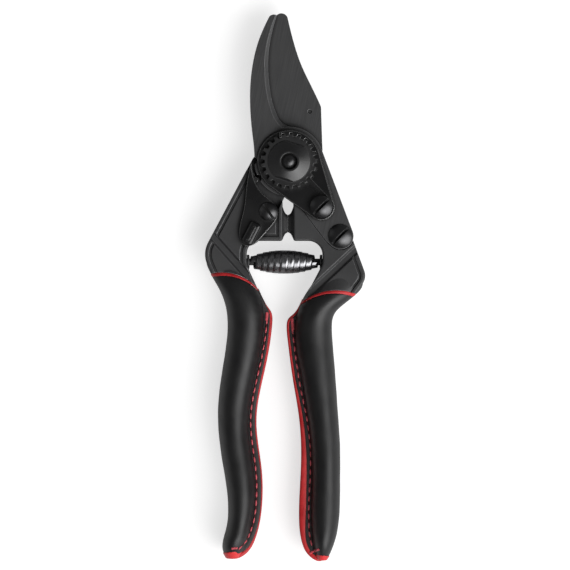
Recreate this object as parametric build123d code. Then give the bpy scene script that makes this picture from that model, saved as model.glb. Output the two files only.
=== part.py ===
from build123d import *
import math
import os

# Compact bypass pruning shears, closed, lying flat with the nut up. Millimetres, +Z up.
# Origin: on the pivot axis, at the underside of the bolt head. The jaws point along +Y.
# The right handle carries the hook blade, the left handle carries the cutting blade.

# ---- Driving dimensions -------------------------------------------------------------------------
RUN_GAP = 0.1  # between faces that slide over each other
PIN_GAP = 0.05  # radial, in running fits
BODY_GAP = 0.3  # between pieces that move past each other
BOLT_HEAD_T = 2.9
BOLT_HEAD_R = 7.0
BOLT_R = 3.5
THREAD_R = 3.0
BOLT_DOME_R = 2.6
BOLT_DOME_BALL_R = 3.6
BUSH_T = 1.4
EYE_T = 3.6
EYE_R = 12.0
BLADE_T = 3.0
HOOK_T = 3.0
HEEL_R = 12.35
PLATE_T = 1.2
PLATE_R = 11.3
SEGMENT_T = 1.9
NUT_TEETH = 21
NUT_TIP_R = 10.0
NUT_ROOT_R = 8.7
NUT_RING_T = 2.0
NUT_HUB_T = 1.7
NUT_HUB_R = 7.4
NUT_CONE_T = 1.15
NUT_CREST_R = 3.6
NUT_FLAT = 6.2
NUT_FLAT_SLOPE = 0.7
NUT_FLAT_ANGLE = -17
HEAD_T = 9.6
HEAD_RIM = 1.4
HEAD_RECESS = 0.5
GROOVE_W = 1.7
GROOVE_DEPTH = 0.9
GROOVE_BEVEL = 0.8
RIM_LINE_W = 1.0
GRIP_DEPTH = 15.6
SLEEVE_T = 1.8
MOUTH_EDGE = 0.9
FIN_T = 2.4
SEAM_EDGE = 0.5
SEAM_EDGE_T = 1.6
STITCH_L = 1.9
STITCH_PITCH = 3.1
STITCH_W = 0.55
STITCH_T = 0.3
STITCH_INSET = 2.0
SEAM_STEPS = 14
SEAM_SPREAD = 1.3  # how much wider the right grip's seam is towards its end
SPREAD_FROM = 0.35
SPREAD_OVER = 0.2
SCREW_R = 1.9
SCREW_HEAD_T = 2.0
SLOT_W = 0.9
SLOT_DEPTH = 1.5
SEGMENT_SCREW_R = 4.0
TANG_SCREW_R = 4.2
CATCH_SCREW_R = 3.35
CATCH_PIN_R = 2.2
CATCH_T = 1.4
CATCH_BOSS_R = 3.4
CATCH_TRAVEL = 5.0  # degrees, clockwise from above
THUMB_H = 2.6
BALL_R = 1.0
BUMPER_STEM_R = 1.5
BUMPER_STEM_L = 3.0
BUMPER_T = 7.0
DIMPLE_R = 0.75
DIMPLE_DEPTH = 0.4
BUMPER_LOW = -26.0
BUMPER_HIGH = -18.6
SPRING_Y = -35.7
SPRING_WIRE = 0.6
SPRING_RADII = (2.3, 2.9, 3.5, 4.2)
SPRING_END_L = 2.4
SEAT_R = 2.6
SEAT_PEG_R = 1.2
SEAT_PEG_L = 3.2
SEAT_T = 0.9
SEAT_STEM_L = 3.0
TANG_END_R = 4.7
TANG_GAP = 0.3
HEEL_GAP = 0.85
HOOK_CHAMFER = (1.1, 1.3)
HOOK_TIP_TAPER = 2.5
GRIND_W = 4.5
GRIND_H = 2.6
BLADE_TANG_START_R = 6.0
BLADE_TANG_END_R = 5.2
BLADE_SCREW_R = 1.5
BLADE_SCREW_HEAD_R = 2.6
BLADE_SCREW_HEAD_T = 1.1
BOLT_HEAD_FLAT = 6.2
PLATE_LOBE_R = 4.9
SEGMENT_GAP = 0.15
LUG_R = 1.1
OPEN_ANGLE = 30
STITCH_START = 13.5
STITCH_END = 10.5
LEFT_SHOULDER_Y = -3.0

# ---- Places that follow from them ---------------------------------------------------------------
PIVOT = (0, 0)
SEGMENT_SCREW = (11.4, -16.1)
TANG_SCREW = (18.2, -26.5)
CATCH_SCREW = (-7.3, -17.9)
BLADE_TANG_START = (-4.5, -5.0)
BLADE_TANG_END = (-9.8, -17.4)
BLADE_SCREWS = ((-12.6, -16.2), (-8.8, -12.2))
CATCH_BALL = (-15.2, -23.2)
DIMPLE = (7.4, 17.8)
LUG = (-12.23, -6.5)
CUTTING_EDGE = ((-4.8, 51.6), (-8.9, 33.0), (-7.2, 10.0))
THUMB_BLOCK = (-13.4, -25.6)
THUMB_TURN = -27.5
LEFT_GROOVE = ((-28.4, -25.2), (-12.8, -42.8))
RIGHT_GROOVE = ((4.0, -49.8), (25.0, -30.2))
EYE_Z = BOLT_HEAD_T + RUN_GAP
BLADE_Z = EYE_Z + EYE_T
HOOK_Z = BLADE_Z + BLADE_T + RUN_GAP
PLATE_Z = HOOK_Z + HOOK_T
NUT_Z = PLATE_Z + PLATE_T
HEAD_TOP = EYE_Z + HEAD_T
MID_Z = GRIP_DEPTH / 2
CATCH_Z = max(PLATE_Z + BODY_GAP, HEAD_TOP + BODY_GAP + RUN_GAP)
BUSH_R = BOLT_R + PIN_GAP + BUSH_T
LEFT_SEAT_X = -15.0
RIGHT_SEAT_X = 11.8
LEFT_STOP_X = -2.3
RIGHT_STOP_X = 1.5
STOP_FACE_X = -0.4
SCREW_FOOT = EYE_Z + 1.6
CATCH_PIN_FOOT = EYE_Z + 0.8
BLADE_SCREW_TOP = BLADE_Z + BLADE_T - 0.6
BALL_Z = CATCH_Z - PIN_GAP - BALL_R
BALL_BORE_Z = EYE_Z + 3.0
FAR = 200
STANDING = (Align.CENTER, Align.CENTER, Align.MIN)
HANGING = (Align.CENTER, Align.CENTER, Align.MAX)


# ---- Shapes used more than once -----------------------------------------------------------------
def disc(centre, radius, z_low, z_high):
    return Pos(*centre, z_low) * extrude(Circle(radius), z_high - z_low)


def plate(sketch, z_low, z_high):
    return Pos(0, 0, z_low) * extrude(sketch, z_high - z_low)


def x_rod(x_low, x_high, y, z, radius):
    plane = Plane(origin=(x_low, y, z), z_dir=(1, 0, 0))
    return plane * extrude(Circle(radius), x_high - x_low)


def bar(a, radius_a, b, radius_b):
    """A flat bar with two round ends and straight sides tangent to both."""
    along = Vector(*b) - Vector(*a)
    heading = math.degrees(math.atan2(along.Y, along.X))
    spread = math.degrees(math.acos((radius_a - radius_b) / along.length))
    corners = []
    ends_in_turn = ((a, radius_a, 1), (b, radius_b, 1), (b, radius_b, -1), (a, radius_a, -1))
    for centre, radius, side in ends_in_turn:
        turn = math.radians(heading + side * spread)
        corners.append((centre[0] + radius * math.cos(turn), centre[1] + radius * math.sin(turn)))
    ends = Pos(*a) * Circle(radius_a) + Pos(*b) * Circle(radius_b)
    return ends + make_face(Polyline(*corners, close=True))


def half_plane(start, end):
    """The side to the right of the line from start to end."""
    run = (Vector(*end) - Vector(*start)).normalized() * FAR
    side = Vector(run.Y, -run.X)
    a, b = Vector(*start) - run, Vector(*end) + run
    return make_face(Polyline(a, b, b + side, a + side, close=True))


def toothed(root_r, tip_r, count):
    """A flat gear outline with blunt teeth, as wide as the gaps between them."""
    points = []
    for tooth in range(count):
        for part, radius in ((-0.30, root_r), (-0.17, tip_r), (0.17, tip_r), (0.30, root_r)):
            turn = 2 * math.pi * (tooth + part) / count
            points.append((radius * math.cos(turn), radius * math.sin(turn)))
    return make_face(Polyline(*points, close=True))


def slotted_screw(centre, head_r, head_z, shank_r, slot_angle, depth):
    """A domed screw head with a slot, on a shank that goes down from its seat."""
    sphere_r = (head_r**2 + SCREW_HEAD_T**2) / (2 * SCREW_HEAD_T) * 1.15
    dome = Pos(*centre, head_z + SCREW_HEAD_T - sphere_r) * Sphere(sphere_r)
    head = disc(centre, head_r, head_z, head_z + SCREW_HEAD_T) & dome
    slot = Pos(*centre, head_z + SCREW_HEAD_T) * Rot(0, 0, slot_angle) * Box(FAR, SLOT_W, 2 * SLOT_DEPTH)
    return head - slot + disc(centre, shank_r, head_z - depth, head_z)


def from_rows(rows, shrink):
    """A tube-like solid through oval sections: each row is y, inner x, outer x, half depth."""
    sections = []
    for y, x_a, x_b, half_depth in rows:
        section = Plane(origin=((x_a + x_b) / 2, y, MID_Z), x_dir=(1, 0, 0), z_dir=(0, -1, 0))
        sections.append(section * Ellipse(abs(x_b - x_a) / 2 - shrink, half_depth - shrink))
    return loft(sections)


# ---- Handle outlines ----------------------------------------------------------------------------
LEFT_GRIP_ROWS = (
    (-34.0, -15.2, -29.6, 3.6), (-40.0, -13.6, -27.8, 5.4), (-46.0, -10.9, -24.5, 7.1),
    (-54.0, -9.0, -22.1, 7.8), (-64.0, -9.5, -22.2, 7.8), (-80.0, -12.8, -24.6, 7.8),
    (-94.0, -14.4, -25.2, 7.8), (-108.0, -12.8, -23.5, 7.8), (-120.0, -12.1, -21.8, 7.8),
    (-131.0, -13.8, -22.5, 7.6), (-138.0, -16.0, -23.6, 6.2), (-140.8, -18.0, -22.6, 3.6),
)
RIGHT_GRIP_ROWS = (
    (-38.0, 12.0, 26.4, 3.6), (-43.5, 8.3, 26.3, 5.4), (-48.0, 5.3, 22.9, 6.9), (-53.0, 3.2, 17.0, 7.8),
    (-59.0, 1.9, 15.2, 7.8), (-72.0, 3.2, 16.1, 7.8), (-86.0, 5.7, 17.1, 7.8), (-102.0, 7.7, 18.1, 7.8),
    (-116.0, 7.9, 18.1, 7.8), (-130.0, 7.8, 17.4, 7.7), (-138.0, 9.0, 15.2, 6.2), (-141.4, 10.0, 13.6, 3.6),
)
LEFT_MOUTH = ((-30.5, -40.6), (-20.5, -39.8), (-11.0, -45.2))
RIGHT_MOUTH = ((27.0, -48.6), (16.8, -45.8), (3.0, -51.0))
LEFT_SEAM = (
    (-11.0, -45.2), (-6.6, -52.6), (-6.1, -58.0), (-8.6, -74.0), (-11.6, -92.0), (-9.7, -110.0),
    (-9.6, -122.0), (-11.9, -134.0), (-15.6, -139.8), (-20.0, -141.3), (-22.6, -139.0),
)
RIGHT_SEAM = (
    (4.4, -49.2), (-0.6, -55.6), (-0.6, -62.0), (1.4, -78.0), (3.5, -91.0), (4.2, -108.0),
    (3.5, -126.0), (4.4, -135.0), (7.4, -140.6), (11.4, -142.2), (13.6, -139.8),
)


def below_mouth(mouth, drop=0.0):
    """Everything below the curved line where the sleeve starts, let down by drop."""
    arc = ThreePointArc(*[(x, y - drop) for x, y in mouth])
    start, end = arc @ 0, arc @ 1
    wide = math.copysign(FAR, end.X - start.X)
    low_corners = ((end.X + wide, -FAR), (start.X - wide, -FAR))
    frame = Polyline(end, (end.X + wide, end.Y), *low_corners, (start.X - wide, start.Y), start)
    return plate(make_face(arc + frame), -FAR, FAR)


def rounded(corners):
    """A flat outline through straight corners, each given as x, y and its rounding radius."""
    face = make_face(Polyline(*[(x, y) for x, y, _ in corners], close=True))
    for x, y, radius in corners:
        if radius:
            face = fillet(face.vertices().sort_by_distance((x, y))[0], radius)
    return face


def left_head_outline():
    return rounded((
        (-2.6, -9.0, 0), (-9.0, 6.0, 0), (-12.9, 1.2, 0), (-30.9, -32.6, 9.0), (-24.6, -47.0, 0),
        (-12.2, -47.0, 0), (-15.1, -35.4, 6.0), (-15.1, -28.2, 4.6), (LEFT_STOP_X, -28.2, 0.8),
        (LEFT_STOP_X, -15.2, 1.0),
    ))


def right_head_outline():
    return rounded((
        (1.2, -11.5, 0), (13.9, -2.5, 0), (22.6, -27.6, 0), (27.7, -41.4, 5.0), (20.5, -51.0, 0),
        (4.3, -51.0, 0), (11.9, -36.5, 5.0), (11.9, -28.2, 5.0), (RIGHT_STOP_X, -28.2, 0.8),
        (RIGHT_STOP_X, -15.2, 1.0),
    ))


def head_slab(outline, lined):
    """The forged head: rounded edges, and a line sunk inside its rim on both faces where it is lined."""
    slab = plate(outline, EYE_Z, HEAD_TOP)
    slab = fillet(slab.edges().group_by(Axis.Z)[-1] + slab.edges().group_by(Axis.Z)[0], 0.7)
    inner = offset(outline, -HEAD_RIM, kind=Kind.INTERSECTION)
    line = (inner - offset(outline, -HEAD_RIM - RIM_LINE_W, kind=Kind.INTERSECTION)) & lined
    slab -= plate(line, HEAD_TOP - HEAD_RECESS, FAR)
    return slab - plate(line, -FAR, EYE_Z + HEAD_RECESS)


def groove(start, end):
    """A slanting groove with bevelled sides across both faces of a head."""
    run = Vector(*end) - Vector(*start)
    middle = (Vector(*end) + Vector(*start)) / 2
    half, low, past = GROOVE_W / 2, HEAD_T / 2 - GROOVE_DEPTH, 4
    section = Polygon(
        (-half, low), (half, low), (half + past * GROOVE_BEVEL, low + past * GROOVE_DEPTH),
        (-half - past * GROOVE_BEVEL, low + past * GROOVE_DEPTH), align=None)
    cut = extrude(Plane.YZ * (section + mirror(section, Plane.XZ)), run.length / 2, both=True)
    heading = math.degrees(math.atan2(run.Y, run.X))
    return Pos(middle.X, middle.Y, EYE_Z + HEAD_T / 2) * Rot(0, 0, heading) * cut


def make_handle_blank(outline, lined, rows, mouth, groove_ends):
    """A handle before its pockets: head, the swell into the grip, and the core inside the sleeve."""
    head = head_slab(outline, lined) - below_mouth(mouth)
    swell = from_rows(rows, 0) - below_mouth(mouth)
    return head + swell + from_rows(rows[:-1], SLEEVE_T) - groove(*groove_ends)


# ---- Grips ----------------------------------------------------------------------------------
def beside_seam(seam, inset, spread):
    """A smooth line beside a seam, inset from it towards the grip, and spread further lower down."""
    line = Spline(*seam)
    inward_sign = math.copysign(1, -seam[0][0])
    points = []
    for number in range(SEAM_STEPS + 1):
        share = number / SEAM_STEPS
        heading = line % share
        reach = inset + spread * min(1, max(0, (share - SPREAD_FROM) / SPREAD_OVER))
        points.append((line @ share) + Vector(heading.Y, -heading.X) * inward_sign * reach)
    return Spline(*points)


def fin_sketch(rows, seam, inset, spread):
    """The flat seam along the inside of a grip, from its edge back to the grip's middle."""
    edge = beside_seam(seam, inset, spread)
    middle = [((a + b) / 2, y) for y, a, b, _ in rows if seam[-1][1] + 3 < y < seam[0][1] - 4]
    return make_face(edge + Polyline(edge @ 1, *reversed(middle), edge @ 0))


def make_grip(rows, mouth, seam, spread):
    """The leather sleeve and the red lining that shows at its mouth and along its seam."""
    outer = from_rows(rows, 0)
    core = from_rows(rows[:-1], SLEEVE_T)
    fin = plate(fin_sketch(rows, seam, SEAM_EDGE, spread), MID_Z - FIN_T / 2, MID_Z + FIN_T / 2)
    edge = plate(fin_sketch(rows, seam, 0, 0), MID_Z - SEAM_EDGE_T / 2, MID_Z + SEAM_EDGE_T / 2)
    sleeve = (outer + fin - core) & below_mouth(mouth, MOUTH_EDGE)
    mouth_ring = ((outer - core) & below_mouth(mouth)) - below_mouth(mouth, MOUTH_EDGE)
    seam_edge = (edge - fin - outer) & below_mouth(mouth, MOUTH_EDGE)
    return sleeve, mouth_ring + seam_edge


def make_stitching(seam, spread):
    """Dashes on both faces of the seam, a fixed step apart along it."""
    line = beside_seam(seam, STITCH_INSET, spread)
    count = int((line.length - STITCH_START - STITCH_END) / STITCH_PITCH) + 1
    stitches = []
    for number in range(count):
        share = (STITCH_START + number * STITCH_PITCH) / line.length
        place, heading = line @ share, line % share
        turn = math.degrees(math.atan2(heading.Y, heading.X))
        for side in (1, -1):
            height = MID_Z + side * (FIN_T + STITCH_T) / 2
            dash = Box(STITCH_L, STITCH_W, STITCH_T)
            stitches.append(Pos(place.X, place.Y, height) * Rot(0, 0, turn) * dash)
    return Compound(children=stitches)


# ---- Blades -------------------------------------------------------------------------------------
def turned(point, centre, degrees):
    run = (Vector(*point) - Vector(*centre)).rotate(Axis.Z, degrees)
    return (centre[0] + run.X, centre[1] + run.Y)


def hook_sketch():
    outer = Spline(
        (-7.1, 51.5), (-10.7, 43.4), (-13.4, 31.5), (-13.9, 21.0), (-13.1, 10.0), (-12.3, 1.0),
        tangents=((-0.5, -1), (0.03, -1)),
    )
    inner = Spline((0.6, 12.33), (-2.6, 13.9), (-5.3, 19.0), (-7.2, 29.0), (-7.3, 38.0), (-4.3, 52.0))
    tip = ThreePointArc((-4.3, 52.0), (-5.8, 52.25), (-7.1, 51.5))
    jaw = make_face(outer + Polyline(outer @ 1, PIVOT, inner @ 0) + inner + tip)
    tang = bar(PIVOT, HEEL_R, TANG_SCREW, TANG_END_R) & half_plane((12.8, -27.8), (3.5, -15.4))
    sketch = jaw + Circle(HEEL_R) + tang
    locked = turned(LUG, CATCH_SCREW, -CATCH_TRAVEL)
    for opened in (0, OPEN_ANGLE):
        sketch -= Pos(*turned(locked, PIVOT, -opened)) * Circle(LUG_R + BODY_GAP)
    return sketch


def make_hook_blade():
    """The counter blade: round heel, hooked jaw with a chamfered inner edge, tang to the right handle."""
    blade = plate(hook_sketch(), HOOK_Z, HOOK_Z + HOOK_T)
    top = blade.edges().group_by(Axis.Z)[-1]
    blade = chamfer(top.sort_by_distance((-7.3, 33, HOOK_Z + HOOK_T))[0], *HOOK_CHAMFER)
    taper_turn = math.radians(HOOK_TIP_TAPER)
    taper = Plane(
        origin=(-10.7, 37.6, HOOK_Z + HOOK_T), z_dir=(math.sin(taper_turn) * 0.3, math.sin(taper_turn), 1)
    )
    blade -= taper * Pos(0, 0, FAR / 2) * Box(FAR, FAR, FAR)
    blade -= disc(PIVOT, BOLT_R, HOOK_Z, FAR)
    for screw in (SEGMENT_SCREW, TANG_SCREW):
        blade -= disc(screw, SCREW_R, HOOK_Z, FAR)
    return blade


def make_cutting_jaw():
    """The rounded jaw, ground on its far side along an edge that is one long arc."""
    edge = ThreePointArc(*CUTTING_EDGE)
    back = Polyline(CUTTING_EDGE[-1], PIVOT, (11.9, 3.9), (11.4, 19.5))
    back += Spline((11.4, 19.5), (8.2, 26.3), (4.2, 34.8), (1.4, 43.4), (-0.5, 51.2))
    tip = ThreePointArc((-0.5, 51.2), (-2.8, 52.8), CUTTING_EDGE[0])
    centre = (edge.arc_center.X, edge.arc_center.Y)
    ground = Pos(*centre, BLADE_Z) * Cone(edge.radius - GRIND_W, edge.radius, GRIND_H, align=STANDING)
    ground += disc(centre, edge.radius, BLADE_Z + GRIND_H, BLADE_Z + BLADE_T)
    return plate(make_face(edge + back + tip), BLADE_Z, BLADE_Z + BLADE_T) & ground


def tang_sketch(clearance):
    radii = (BLADE_TANG_START_R + clearance, BLADE_TANG_END_R + clearance)
    return bar(BLADE_TANG_START, radii[0], BLADE_TANG_END, radii[1])


def make_cutting_blade():
    """The sharp blade: flat towards the hook blade, ground on its far side."""
    blade = make_cutting_jaw() + plate(Circle(EYE_R) + tang_sketch(0), BLADE_Z, BLADE_Z + BLADE_T)
    blade -= disc(PIVOT, BUSH_R, BLADE_Z, FAR)
    blade -= disc(CATCH_SCREW, CATCH_PIN_R, BLADE_Z, FAR)
    blade -= disc(DIMPLE, DIMPLE_R, BLADE_Z + BLADE_T - DIMPLE_DEPTH, FAR)
    for screw in BLADE_SCREWS:
        blade -= disc(screw, BLADE_SCREW_R, BLADE_Z, BLADE_SCREW_TOP)
    return blade


# ---- Pivot --------------------------------------------------------------------------------------
def make_pivot_plate():
    body = plate(bar(PIVOT, PLATE_R, SEGMENT_SCREW, PLATE_LOBE_R), PLATE_Z, NUT_Z)
    body = chamfer(body.edges().group_by(Axis.Z)[-1], PLATE_T / 4)
    return body - disc(PIVOT, BOLT_R, 0, FAR) - disc(SEGMENT_SCREW, SCREW_R, 0, FAR)


def make_lock_segment():
    """The toothed piece that sits in the nut's teeth."""
    outline = bar(PIVOT, NUT_TIP_R + 0.9, SEGMENT_SCREW, SEGMENT_SCREW_R + 0.4)
    outline &= half_plane((14.7, -13.6), (7.9, -6.5)) & half_plane((-3.4, -14.0), (-3.4, 0.0))
    outline -= toothed(NUT_ROOT_R + SEGMENT_GAP, NUT_TIP_R + SEGMENT_GAP, NUT_TEETH)
    body = plate(outline, NUT_Z, NUT_Z + SEGMENT_T)
    return body - disc(SEGMENT_SCREW, SCREW_R, 0, FAR)


def make_centre_nut():
    """A toothed ring under a coned hub with two sloping wrench flats."""
    ring_top = NUT_Z + NUT_RING_T
    hub_top = ring_top + NUT_HUB_T
    ring = plate(toothed(NUT_ROOT_R, NUT_TIP_R, NUT_TEETH), NUT_Z, ring_top)
    ring &= Pos(0, 0, NUT_Z) * Cone(NUT_TIP_R + 1.6, NUT_TIP_R - 0.4, NUT_RING_T, align=STANDING)
    cone_foot = hub_top - NUT_CONE_T
    hub = disc(PIVOT, NUT_HUB_R, ring_top, cone_foot)
    hub += Pos(0, 0, cone_foot) * Cone(NUT_HUB_R, NUT_CREST_R, NUT_CONE_T, align=STANDING)
    low, high = NUT_FLAT + NUT_FLAT_SLOPE, NUT_FLAT - NUT_FLAT_SLOPE
    flats = Polygon((-low, ring_top), (low, ring_top), (high, hub_top), (-high, hub_top), align=None)
    hub &= Rot(0, 0, NUT_FLAT_ANGLE) * extrude(Plane.YZ * flats, FAR, both=True)
    return ring + hub - disc(PIVOT, THREAD_R, 0, FAR)


def make_centre_bolt():
    top = NUT_Z + NUT_RING_T + NUT_HUB_T - 0.5
    head = disc(PIVOT, BOLT_HEAD_R, 0, BOLT_HEAD_T) & Box(FAR, 2 * BOLT_HEAD_FLAT, FAR)
    head = chamfer(head.edges().group_by(Axis.Z)[0], 0.5)
    shank = disc(PIVOT, BOLT_R, BOLT_HEAD_T, NUT_Z) + disc(PIVOT, THREAD_R, NUT_Z, top - 1.2)
    ball = Pos(*PIVOT, top - BOLT_DOME_BALL_R) * Sphere(BOLT_DOME_BALL_R)
    end = disc(PIVOT, BOLT_DOME_R, top - 1.2, top) & ball
    return head + shank + end


def make_pivot_bush():
    return disc(PIVOT, BUSH_R, EYE_Z, BLADE_Z + BLADE_T) - disc(PIVOT, BOLT_R + PIN_GAP, 0, FAR)


# ---- Fasteners ----------------------------------------------------------------------------------
def make_segment_screw():
    seat = NUT_Z + SEGMENT_T
    return slotted_screw(SEGMENT_SCREW, SEGMENT_SCREW_R, seat, SCREW_R, 45, seat - SCREW_FOOT)


def make_tang_screw():
    return slotted_screw(TANG_SCREW, TANG_SCREW_R, PLATE_Z, SCREW_R, 45, PLATE_Z - SCREW_FOOT)


def make_catch_screw():
    seat = CATCH_Z + CATCH_T + RUN_GAP
    return slotted_screw(CATCH_SCREW, CATCH_SCREW_R, seat, CATCH_PIN_R, -55, seat - CATCH_PIN_FOOT)


def blade_screw(centre):
    """A countersunk screw from the back, with its head in the handle."""
    head = Cone(BLADE_SCREW_HEAD_R, BLADE_SCREW_R, BLADE_SCREW_HEAD_T, align=STANDING)
    foot = EYE_Z + HEAD_RECESS
    slot = Pos(*centre, foot) * Rot(0, 0, 20) * Box(FAR, SLOT_W, 1.0)
    shank = disc(centre, BLADE_SCREW_R, foot + BLADE_SCREW_HEAD_T, BLADE_SCREW_TOP)
    return Pos(*centre, foot) * head - slot + shank


def make_blade_screws():
    return Compound(children=[blade_screw(centre) for centre in BLADE_SCREWS])


# ---- Thumb catch --------------------------------------------------------------------------------
def make_thumb_catch():
    """A lever on the catch screw: an arm with a lug that drops into the heel, and a thumb block."""
    right = Spline(
        (-13.15, -0.2), (-12.9, -4.4), (-9.6, -11.1), (-5.4, -15.0), (-4.0, -18.2), (-8.2, -25.3),
        (-12.6, -29.5), (-15.6, -30.2),
    )
    left = Spline((-15.6, -30.2), (-17.3, -27.6), (-16.1, -17.5), (-15.1, -9.3), (-13.6, -1.2))
    outline = make_face(right + left + Line((-13.6, -1.2), (-13.15, -0.2)))
    body = plate(outline, CATCH_Z, CATCH_Z + CATCH_T)
    body = chamfer(body.edges().group_by(Axis.Z)[-1].sort_by(Edge.length)[-1], 0.25)
    body += disc(CATCH_SCREW, CATCH_BOSS_R, HOOK_Z, CATCH_Z)
    body += disc(LUG, LUG_R, HOOK_Z + RUN_GAP, CATCH_Z)
    block = Box(4.0, 8.6, THUMB_H, align=STANDING)
    block = fillet(block.edges().filter_by(Axis.Z) + block.edges().group_by(Axis.Z)[-1], 1.2)
    rib = Pos(0, 0, THUMB_H) * Box(0.9, 5.4, 0.8)
    rib = fillet(rib.edges().group_by(Axis.Z)[-1], 0.3)
    body += Pos(*THUMB_BLOCK, CATCH_Z + CATCH_T) * Rot(0, 0, THUMB_TURN) * (block + rib)
    body -= Pos(*CATCH_BALL, CATCH_Z) * Sphere(BALL_R / 2)
    return body - disc(CATCH_SCREW, CATCH_PIN_R + PIN_GAP, 0, CATCH_Z + CATCH_T)


def make_catch_ball():
    return Pos(*CATCH_BALL, BALL_Z) * Sphere(BALL_R)


def make_catch_ball_spring():
    tube = disc(CATCH_BALL, BALL_R - 0.1, BALL_BORE_Z, BALL_Z - BALL_R * 0.8)
    tube -= disc(CATCH_BALL, BALL_R - 0.4, 0, FAR)
    return tube - Pos(*CATCH_BALL, BALL_Z) * Sphere(BALL_R)


# ---- Bumpers and return spring ------------------------------------------------------------------
def make_bumper(stop_x, face_x):
    """A rubber block with a stem that plugs into the handle."""
    out = math.copysign(1, stop_x - face_x)
    block = Box(abs(stop_x - face_x), BUMPER_HIGH - BUMPER_LOW, BUMPER_T)
    block = Pos((stop_x + face_x) / 2, (BUMPER_LOW + BUMPER_HIGH) / 2, MID_Z) * block
    block = fillet(block.edges().filter_by(Axis.X), 1.2)
    block = fillet(block.faces().sort_by(Axis.X)[0 if out > 0 else -1].edges(), 0.5)
    return block + bumper_stem(stop_x, out)


def bumper_stem(stop_x, out):
    ends = sorted((stop_x, stop_x + out * BUMPER_STEM_L))
    return x_rod(*ends, (BUMPER_LOW + BUMPER_HIGH) / 2, MID_Z, BUMPER_STEM_R)


def make_spring_seat(face_x, inward):
    """A turned seat: flange against the handle, stem into it, and a peg inside the spring's end."""
    flange = x_rod(*sorted((face_x, face_x + inward * SEAT_T)), SPRING_Y, MID_Z, SEAT_R)
    flange = chamfer(flange.edges().sort_by(Axis.X)[-1 if inward > 0 else 0], 0.3)
    peg_x = sorted((face_x - inward * SEAT_STEM_L, face_x + inward * (SEAT_T + SEAT_PEG_L)))
    peg = x_rod(*peg_x, SPRING_Y, MID_Z, SEAT_PEG_R)
    return flange + chamfer(peg.edges().sort_by(Axis.X)[-1 if inward > 0 else 0], 0.3)


def make_return_spring():
    """The space of the volute spring: a hollow turned shape that steps up to its middle."""
    start = LEFT_SEAT_X + SEAT_T
    end = RIGHT_SEAT_X - SEAT_T - BODY_GAP
    steps = len(SPRING_RADII) - 1
    outer = []
    inner = []
    for number, radius in enumerate(SPRING_RADII):
        x_a = start + number * SPRING_END_L
        x_b = x_a + SPRING_END_L if number < steps else end - steps * SPRING_END_L
        late_a = SPRING_WIRE if number else 0
        late_b = SPRING_WIRE if number < steps else -SPRING_WIRE
        outer += [(x_a, radius), (x_b, radius)]
        inner += [(x_a + late_a, radius - SPRING_WIRE), (x_b + late_b, radius - SPRING_WIRE)]
    mirrored = [(start + end - x, r) for x, r in reversed(outer[:-2])]
    mirrored_inner = [(start + end - x, r) for x, r in reversed(inner[:-2])]
    ring = make_face(Polyline(*(outer + mirrored + list(reversed(inner + mirrored_inner))), close=True))
    return Pos(0, SPRING_Y, MID_Z) * revolve(ring, Axis.X)


# ---- Handles ------------------------------------------------------------------------------------
def make_left_handle():
    """Handle with the eye, the pocket for the cutting blade's tang, and the seats for what it carries."""
    outline = left_head_outline()
    body = make_handle_blank(outline, outline, LEFT_GRIP_ROWS, LEFT_MOUTH, LEFT_GROOVE)
    body -= plate(half_plane((FAR, LEFT_SHOULDER_Y), (0, LEFT_SHOULDER_Y)), BLADE_Z, FAR)
    body += disc(PIVOT, EYE_R, EYE_Z, BLADE_Z)
    body -= plate(tang_sketch(PIN_GAP), BLADE_Z, FAR)
    body -= disc(PIVOT, HEEL_R + HEEL_GAP, BLADE_Z, FAR)
    body -= disc(CATCH_SCREW, CATCH_BOSS_R + BODY_GAP, BLADE_Z + BLADE_T, FAR)
    body -= disc(LUG, LUG_R + BODY_GAP, BLADE_Z + BLADE_T, FAR)
    body -= disc(PIVOT, BUSH_R, 0, FAR)
    body -= disc(CATCH_SCREW, CATCH_PIN_R, CATCH_PIN_FOOT, FAR)
    for centre in BLADE_SCREWS:
        body -= disc(centre, BLADE_SCREW_R, 0, FAR)
        body -= Pos(*centre, EYE_Z + HEAD_RECESS) * Cone(
            BLADE_SCREW_HEAD_R, BLADE_SCREW_R, BLADE_SCREW_HEAD_T, align=STANDING)
    body -= disc(CATCH_BALL, BALL_R + PIN_GAP, BALL_BORE_Z, FAR)
    body -= bumper_stem(LEFT_STOP_X, -1)
    body -= x_rod(LEFT_SEAT_X, LEFT_SEAT_X + 5, SPRING_Y, MID_Z, SEAT_R + PIN_GAP)
    return body - x_rod(LEFT_SEAT_X - SEAT_STEM_L, LEFT_SEAT_X, SPRING_Y, MID_Z, SEAT_PEG_R)


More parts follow.
